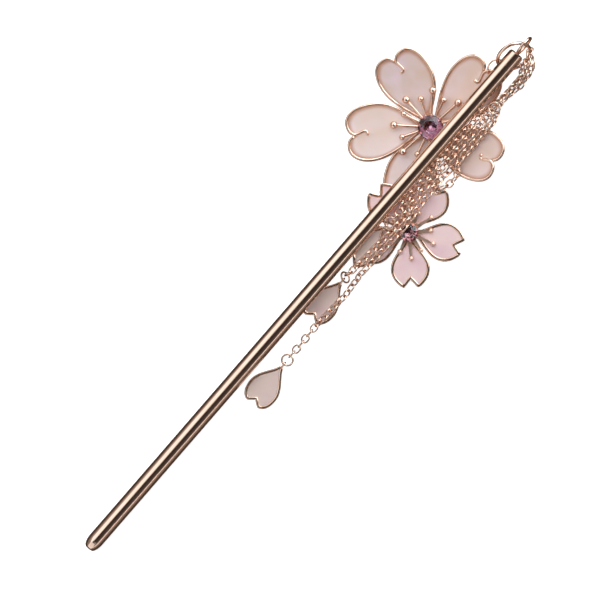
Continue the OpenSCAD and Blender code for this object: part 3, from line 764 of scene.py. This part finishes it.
class HAIRPIN_OT_metal(bpy.types.Operator):
    """Give the stick and the stamens their rose gold plate"""
    bl_idname = "hairpin.metal"
    bl_label = "Stick and Stamens"

    def execute(self, context):
        rows = (
            ("hair_stick", gold_of(context, "polished")),
            ("large_flower_stamens", gold_of(context)),
            ("small_flower_stamens", gold_of(context, "satin")),
        )
        for name, gold in rows:
            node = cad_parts[name]
            node.data.materials.clear()
            node.data.materials.append(gold)
        return {"FINISHED"}


def link_places(node):
    """The place, length and width of each link of a chain node, in mm."""
    bm = bmesh.new()
    bm.from_mesh(node.data)
    bmesh.ops.remove_doubles(bm, verts=bm.verts, dist=SAME_PACKED * MM)
    seen = set()
    for start in bm.verts:
        if start in seen:
            continue
        seen.add(start)
        link, reached = [start], [start]
        while reached:
            here = reached.pop()
            for edge in here.link_edges:
                other = edge.other_vert(here)
                if other not in seen:
                    seen.add(other)
                    link.append(other)
                    reached.append(other)
        points = np.array([vert.co[:] for vert in link]) / MM
        axes = np.linalg.svd(points - points.mean(axis=0), full_matrices=False)[2]
        spans = points @ axes.T
        middle = axes.T @ ((spans.max(axis=0) + spans.min(axis=0)) / 2)
        sizes = spans.max(axis=0) - spans.min(axis=0)
        along, across = Vector(axes[0]), Vector(axes[1])
        turn = Matrix((along, across, along.cross(across))).transposed().to_4x4()
        yield Matrix.Translation(Vector(middle)) @ turn, sizes[0], sizes[1]
    bm.free()


def oval_path(length, width):
    """The middle line of an oval link: two half circles joined by straights."""
    half, radius = (length - width) / 2, width / 2
    path = []
    for side in (1, -1):
        for i in range(LINK_STEPS + 1):
            angle = math.pi * (i / LINK_STEPS - 0.5)
            along, across = half + radius * math.cos(angle), radius * math.sin(angle)
            path.append(Vector((side * along, side * across, 0)))
    return path


class HAIRPIN_OT_chains(bpy.types.Operator):
    """Bend a smooth oval link of round wire in the place of each link of the chains"""
    bl_idname = "hairpin.chains"
    bl_label = "Chains"

    def execute(self, context):
        wire = in_mm(context.scene.hairpin.rings.link_wire)
        for name in CHAINS:
            chain = bmesh.new()
            for place, length, width in link_places(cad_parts[name]):
                link = bmesh.new()
                sweep(link, oval_path(length - wire, width - wire), wire, wire, True, segments=LINK_SIDES)
                bmesh.ops.transform(link, matrix=place, verts=link.verts)
                join(chain, link)
            finish_piece(f"linked_{name}", chain, Matrix(), gold_of(context), [name])
        return {"FINISHED"}


def add_rim(rims, wire, sizes, turn, closed=True, square=CAST):
    """Add the rim of a petal, turned about the middle of its flower."""
    petal = bmesh.new()
    sweep(petal, wire, in_mm(sizes.rim_width), in_mm(sizes.rim_height), closed, square)
    bmesh.ops.transform(petal, matrix=turned(turn, "Z"), verts=petal.verts)
    join(rims, petal)


def add_plate(bm, sizes, segments):
    """Add the round plate under the petals of a flower."""
    radius = in_mm(sizes.plate) / 2
    bmesh.ops.create_cone(bm, cap_ends=True, segments=segments, radius1=radius, radius2=radius,
                          depth=in_mm(sizes.plate_thickness))


def add_loop(rims, sizes, outer, place):
    """Add a closed loop of the drops' loop wire."""
    loop = bmesh.new()
    slit_ring(loop, in_mm(outer), in_mm(sizes.loop_wire), 0.0)
    bmesh.ops.transform(loop, matrix=place, verts=loop.verts)
    join(rims, loop)


def bent_petal(sizes, up, long, wide):
    """The length, rise, fuller side and slimmer side of a large petal bent by hand, in mm."""
    return (in_mm(sizes.petal) * long, in_mm(sizes.rise) * up,
            in_mm(sizes.full_side) * wide, in_mm(sizes.slim_side) * wide)


class HAIRPIN_OT_large_flower(bpy.types.Operator):
    """Make the wire rims and the pearl films of the large flower"""
    bl_idname = "hairpin.large_flower"
    bl_label = "Large Flower"

    def execute(self, context):
        sizes = context.scene.hairpin.large
        colours = context.scene.hairpin.colours
        rims = bmesh.new()
        for turn, up, long, wide in LARGE_PETALS:
            length, rise, full, slim = bent_petal(sizes, up, long, wide)
            wire = [Vector((p.x, p.y, rise_at(p.x, length, rise))) for p in heart_wire(length, full, slim)]
            add_rim(rims, wire, sizes, turn, closed=False, square=1.0)
        add_plate(rims, sizes, segments=48)
        finish_piece("large_petal_rims", rims, ON_LARGE, gold_of(context),
                     ["large_flower_frame"])
        dish = in_mm(sizes.dish)
        for i, (turn, up, long, wide) in enumerate(LARGE_PETALS):
            length, rise, full, slim = bent_petal(sizes, up, long, wide)
            # Each film's colour carries its petal's painted light and shade
            film = finish_of(f"pearl_resin_film_{i + 1}", pearl_film,
                             tinted(colours.film, *FILM_LIGHT_AND_SHADE[i]), colours.film_edge)

            def height_at(x, share):
                return rise_at(x, length, rise) - dish * (1 - share * share)

            bm = bmesh.new()
            sheet(bm, heart_film(length, full, slim), length, in_mm(sizes.film), height_at)
            finish_piece(f"pearl_film_{i + 1}", bm, ON_LARGE @ turned(turn, "Z"), film,
                         [f"petal_film_{i + 1}"])
        return {"FINISHED"}


class HAIRPIN_OT_small_flower(bpy.types.Operator):
    """Make the rims and the enamel of the small flower"""
    bl_idname = "hairpin.small_flower"
    bl_label = "Small Flower"

    def execute(self, context):
        sizes = context.scene.hairpin.small
        enamel = finish_of("poured_pink_enamel", glossy_enamel, context.scene.hairpin.colours.enamel)
        length, width, rise = in_mm(sizes.petal), in_mm(sizes.side), in_mm(sizes.rise)
        outline = mirrored_outline(side_path(SMALL_SIDE, length, width, SMALL_CUT), POINTED_NOTCH * length)
        wire = [Vector((p.x, p.y, rise_at(p.x, length, rise))) for p in outline]
        rims = bmesh.new()
        for turn in SMALL_PETALS:
            add_rim(rims, wire, sizes, turn)
        add_plate(rims, sizes, segments=40)
        add_loop(rims, context.scene.hairpin.drops, sizes.bail,
                 turned(SMALL_PETALS[0], "Z") @ Matrix.Translation((bail_reach(sizes), 0, BAIL_Z)))
        finish_piece("small_petal_rims", rims, ON_SMALL, gold_of(context),
                     ["small_flower_frame"])

        def height_at(x, share):
            return rise_at(x, length, rise) + in_mm(sizes.dome) * (1 - share ** 4) - ENAMEL_BELOW

        for i, turn in enumerate(SMALL_PETALS):
            bm = bmesh.new()
            sheet(bm, outline, length, in_mm(sizes.enamel), height_at)
            finish_piece(f"pink_enamel_{i + 1}", bm, ON_SMALL @ turned(turn, "Z"), enamel,
                         [f"petal_enamel_{i + 1}"])
        return {"FINISHED"}


class HAIRPIN_OT_drops(bpy.types.Operator):
    """Make the rims, loops and enamel of the three petal drops"""
    bl_idname = "hairpin.drops"
    bl_label = "Petal Drops"

    def execute(self, context):
        sizes = context.scene.hairpin.drops
        enamel = finish_of("poured_greyish_enamel", glossy_enamel,
                           context.scene.hairpin.colours.drop_enamel)
        length, width = in_mm(sizes.length), in_mm(sizes.side)
        outline = mirrored_outline(side_path(DROP_SIDE, length, width, DROP_CUT), DROP_NOTCH * length)
        wire = [Vector((p.x, p.y, 0)) for p in outline]
        radius = in_mm(sizes.loop) / 2
        loop_place = Matrix.Translation((LOOP_OVERLAP - radius, 0, radius - LOOP_BELOW)) @ turned(90, "X")

        def height_at(x, share):
            return DROP_DOME * (1 - share ** 4)

        for i in range(len(DROPS)):
            rim = bmesh.new()
            add_rim(rim, wire, sizes, turn=0)
            add_loop(rim, sizes, sizes.loop, loop_place)
            finish_piece(f"drop_rim_{i + 1}", rim, drop_place(i), gold_of(context),
                         [f"drop_frame_{i + 1}"])
            bm = bmesh.new()
            sheet(bm, outline, length, in_mm(sizes.enamel), height_at)
            finish_piece(f"drop_pink_enamel_{i + 1}", bm, drop_place(i), enamel,
                         [f"drop_enamel_{i + 1}"])
        return {"FINISHED"}


class HAIRPIN_OT_rings(bpy.types.Operator):
    """Make the head ring and the jump rings, each with the fine slit where it was closed"""
    bl_idname = "hairpin.rings"
    bl_label = "Rings"

    def execute(self, context):
        sizes = context.scene.hairpin.rings
        small = context.scene.hairpin.small
        drops = context.scene.hairpin.drops
        jump, wire = in_mm(sizes.jump), in_mm(sizes.jump_wire)
        radius = (jump - wire) / 2
        hook = bail_reach(small) + in_mm(small.bail) / 2 - in_mm(drops.loop_wire) - wire / 2 - LAY_GAP
        small_ring = (ON_SMALL @ turned(SMALL_PETALS[0], "Z") @ Matrix.Translation((hook, 0, BAIL_Z))
                      @ IN_BAIL @ Matrix.Translation((radius, 0, 0)))
        # The last turn of each place is the direction of the ring's slit
        rows = [
            ("head_ring", in_mm(sizes.head), in_mm(sizes.head_wire), HEAD_RING @ turned(250, "Z")),
            ("flower_ring", in_mm(sizes.flower), wire, FLOWER_RING @ turned(110, "Z")),
            ("chain_ring", jump, wire, CHAIN_RING @ turned(75, "Z")),
            ("small_flower_ring", jump, wire, small_ring @ turned(80, "Z")),
        ]
        hook_at = in_mm(drops.loop) - LOOP_OVERLAP - in_mm(drops.loop_wire) - wire / 2 - LAY_GAP
        hook_up = in_mm(drops.loop_wire) + wire / 2 + LAY_GAP - LOOP_BELOW
        for i, (tilt, roll) in enumerate(DROP_RINGS):
            place = (drop_place(i) @ Matrix.Translation((-hook_at, 0, hook_up)) @ turned(tilt, "Y")
                     @ turned(roll, "X") @ Matrix.Translation((-radius, 0, 0)))
            rows.append((f"drop_ring_{i + 1}", jump, wire, place @ turned(95, "Z")))
        for name, outer, thick, place in rows:
            bm = bmesh.new()
            slit_ring(bm, outer, thick, in_mm(sizes.slit))
            finish_piece(f"closed_{name}", bm, place, gold_of(context), [name])
        return {"FINISHED"}


class HAIRPIN_OT_stones(bpy.types.Operator):
    """Cut the two lilac crystals"""
    bl_idname = "hairpin.stones"
    bl_label = "Crystals"

    def execute(self, context):
        settings = context.scene.hairpin
        glass = finish_of("cut_lilac_crystal", lilac_glass, settings.colours.lilac)
        foil = finish_of("lilac_mirror_foil", foil_back, settings.colours.foil)
        pale_foil = finish_of("pale_mirror_foil", foil_back, settings.colours.small_foil)
        rows = (
            ("large_crystal", settings.large, ON_LARGE, 9, foil),
            ("small_crystal", settings.small, ON_SMALL, 31, pale_foil),
        )
        for name, sizes, place, turn, back in rows:
            diameter = in_mm(sizes.stone)
            seat = in_mm(sizes.plate_thickness) / 2 + LAY_GAP + WIRES_UNDER_STONE
            girdle = seat + PAVILION_SHARE * diameter
            bm = bmesh.new()
            brilliant(bm, diameter)
            bmesh.ops.recalc_face_normals(bm, faces=bm.faces)
            foil_faces(bm)
            finish_piece(f"cut_{name}", bm, place @ Matrix.Translation((0, 0, girdle)) @ turned(turn, "Z"),
                         [glass, back], [name], smooth=False)
        return {"FINISHED"}


# The stage. Its lights have places and sizes in metres.


# A cool white, so that the highlights on the gold turn cream
KEY_COLOUR = (0.92, 1.0, 1.04)
# The long box isn't quite parallel to the stick, so its highlight drifts to the middle at the tip
KEY_TWIST = 44
# Length of the box and of the strip
LONG = 1.3
# The box stands left of the stick in the picture, and has a brighter core that softens the edges of
# its highlight: place, width, and share of the radiance
KEY_BOXES = (
    ("key_box", (0.12, 0.49, 0.36), 0.64, 0.4),
    ("key_core", (0.12, 0.483, 0.368), 0.42, 0.6),
)
# The narrow strip stands right of the stick
STRIP_PLACE = (0.0, -0.5, 0.31)
STRIP_WIDTH = 0.05
# The rims, rings and links mirror a card beyond each end of the stick: place, and share of the radiance
CARDS = (
    ("head_card", (0.53, 0.0, 0.38), 1.45),
    ("tip_card", (-0.53, 0.0, 0.38), 0.32),
)
CARD_SIZE = (0.8, 0.6)
FILL_PLACE = (0.1, 0.25, 0.9)
FILL_SIZE = 0.8
# The room round the stage is dim overhead and brighter near the floor: height, and linear colour
ROOM = (
    (0.0, (0.31, 0.285, 0.265, 1)),
    (0.55, (0.235, 0.215, 0.205, 1)),
    (0.85, (0.065, 0.058, 0.052, 1)),
    (1.0, (0.035, 0.03, 0.028, 1)),
)
BACKDROP = (0.9, 0.9, 0.9, 1)
# Half the width of the table in metres, its gap under the part in mm, and how the metal mirrors it
TABLE_SIZE = 3.0
TABLE_GAP = 0.02
TABLE_MIRRORED = "#544941"
# The middle of the picture, and the height above the table at which its width is measured, in mm
PICTURE_MIDDLE = (-2.85, -0.72)
PICTURE_HEIGHT = 4


def soft_box(name, centre, size_x, size_y, radiance, colour=(1.0, 1.0, 1.0), twist=0.0):
    """An area light that faces the origin, twisted about its own axis by some degrees. Its surface
    has the radiance given."""
    lamp = bpy.data.lights.new(name, "AREA")
    lamp.shape = "RECTANGLE"
    lamp.size = size_x
    lamp.size_y = size_y
    lamp.energy = radiance * math.pi * size_x * size_y
    lamp.color = colour
    light = put(name, lamp)
    light.location = centre
    facing = Vector(centre).to_track_quat("Z", "Y").to_matrix().to_4x4()
    light.rotation_euler = (facing @ turned(twist, "Z")).to_euler()
    return light


def plain_table(colour, glow):
    """A white table that is lit from below too, as a product photo's is, so shadows stay faint. The
    metal mirrors it dimmer, as it would mirror the cards round a small stage."""
    material = bpy.data.materials.new("plain_table")
    tree = empty_tree(material)
    white = add_node(tree, "ShaderNodeBsdfDiffuse", {"Color": colour})
    below = add_node(tree, "ShaderNodeEmission", {"Strength": glow})
    lit = add_node(tree, "ShaderNodeAddShader")
    tree.links.new(white.outputs["BSDF"], lit.inputs[0])
    tree.links.new(below.outputs["Emission"], lit.inputs[1])
    dim = add_node(tree, "ShaderNodeBsdfDiffuse", {"Color": linear(TABLE_MIRRORED)})
    path = add_node(tree, "ShaderNodeLightPath")
    both = add_node(tree, "ShaderNodeMixShader", {"Fac": path.outputs["Is Glossy Ray"]})
    tree.links.new(lit.outputs["Shader"], both.inputs[1])
    tree.links.new(dim.outputs["BSDF"], both.inputs[2])
    add_node(tree, "ShaderNodeOutputMaterial", {"Surface": both.outputs["Shader"]})
    return material


def lay_table(material):
    """Lay the table just under the part."""
    bm = bmesh.new()
    bmesh.ops.create_grid(bm, x_segments=1, y_segments=1, size=TABLE_SIZE)
    bmesh.ops.translate(bm, vec=(0, 0, cad_bounds[0].z - TABLE_GAP * MM), verts=bm.verts)
    table = put("table", mesh_of("table", bm))
    table.data.materials.append(material)


def studio_room():
    """The room that the part mirrors, which the camera itself sees as a plain pale backdrop."""
    world = bpy.data.worlds.new("studio")
    tree = empty_tree(world)
    up = add_node(tree, "ShaderNodeSeparateXYZ",
                  {"Vector": add_node(tree, "ShaderNodeTexCoord").outputs["Generated"]})
    ramp = add_node(tree, "ShaderNodeValToRGB", {"Fac": up.outputs["Z"]})
    ramp.color_ramp.elements[0].color = ROOM[0][1]
    ramp.color_ramp.elements[1].color = ROOM[-1][1]
    for height, colour in ROOM[1:-1]:
        ramp.color_ramp.elements.new(height).color = colour
    path = add_node(tree, "ShaderNodeLightPath")
    shown = add_node(tree, "ShaderNodeMix",
                     {"Factor": path.outputs["Is Camera Ray"], "A": ramp.outputs["Color"], "B": BACKDROP},
                     data_type="RGBA")
    sky = add_node(tree, "ShaderNodeBackground", {"Color": shown.outputs["Result"]})
    add_node(tree, "ShaderNodeOutputWorld", {"Surface": sky.outputs["Background"]})
    return world


def light_stage(settings):
    """Place the long box, the strip, the two cards and the light that whitens the table."""
    for name, place, width, share in KEY_BOXES:
        soft_box(name, place, LONG, width, share * settings.key, KEY_COLOUR, KEY_TWIST)
    soft_box("strip_light", STRIP_PLACE, LONG, STRIP_WIDTH, settings.strip)
    for name, place, share in CARDS:
        card = soft_box(name, place, *CARD_SIZE, share * settings.cards, KEY_COLOUR)
        card.visible_diffuse = False
    fill = soft_box("table_fill", FILL_PLACE, FILL_SIZE, FILL_SIZE, 1.0)
    fill.data.energy = settings.fill
    fill.visible_glossy = False


def photo_camera(settings):
    """A camera straight above the part, turned as the photo is."""
    lens = bpy.data.cameras.new("photo_camera")
    lens.lens = settings.lens
    lens.sensor_width = 36.0
    distance = settings.frame_width * settings.lens / lens.sensor_width
    lens.clip_start = 0.01
    lens.clip_end = 10.0
    camera = put("photo_camera", lens)
    camera.location = (PICTURE_MIDDLE[0] * MM, PICTURE_MIDDLE[1] * MM, distance + PICTURE_HEIGHT * MM)
    camera.rotation_euler = (0.0, 0.0, -settings.turn)
    return camera


class HAIRPIN_OT_stage(bpy.types.Operator):
    """Make the table, the soft studio lights and the camera"""
    bl_idname = "hairpin.stage"
    bl_label = "Stage"

    def execute(self, context):
        scene = context.scene
        settings = scene.hairpin.stage
        lay_table(plain_table(scene.hairpin.colours.floor, settings.glow))
        scene.world = studio_room()
        light_stage(settings)
        scene.camera = photo_camera(settings)
        scene.view_settings.view_transform = "Standard"
        return {"FINISHED"}


class HAIRPIN_PT_panel(bpy.types.Panel):
    """The steps of the hairpin, in order"""
    bl_label = "Hairpin"
    bl_space_type = "VIEW_3D"
    bl_region_type = "UI"
    bl_category = "Hairpin"

    def draw(self, context):
        for step in STEPS:
            self.layout.operator(step.bl_idname)


STEPS = (
    HAIRPIN_OT_stage,
    HAIRPIN_OT_metal,
    HAIRPIN_OT_chains,
    HAIRPIN_OT_large_flower,
    HAIRPIN_OT_small_flower,
    HAIRPIN_OT_drops,
    HAIRPIN_OT_rings,
    HAIRPIN_OT_stones,
)
GROUPS = (
    HairpinLargeFlower,
    HairpinSmallFlower,
    HairpinDrops,
    HairpinRings,
    HairpinColours,
    HairpinStage,
    HairpinSettings,
)
CLASSES = GROUPS + STEPS + (HAIRPIN_PT_panel,)


def register():
    for cls in CLASSES:
        bpy.utils.register_class(cls)
    bpy.types.Scene.hairpin = bpy.props.PointerProperty(type=HairpinSettings)


def unregister():
    del bpy.types.Scene.hairpin
    for cls in reversed(CLASSES):
        bpy.utils.unregister_class(cls)


def main():
    """Register the add-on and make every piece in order."""
    register()
    for step in STEPS:
        group, name = step.bl_idname.split(".")
        getattr(getattr(bpy.ops, group), name)()


if __name__ == "__main__":
    main()
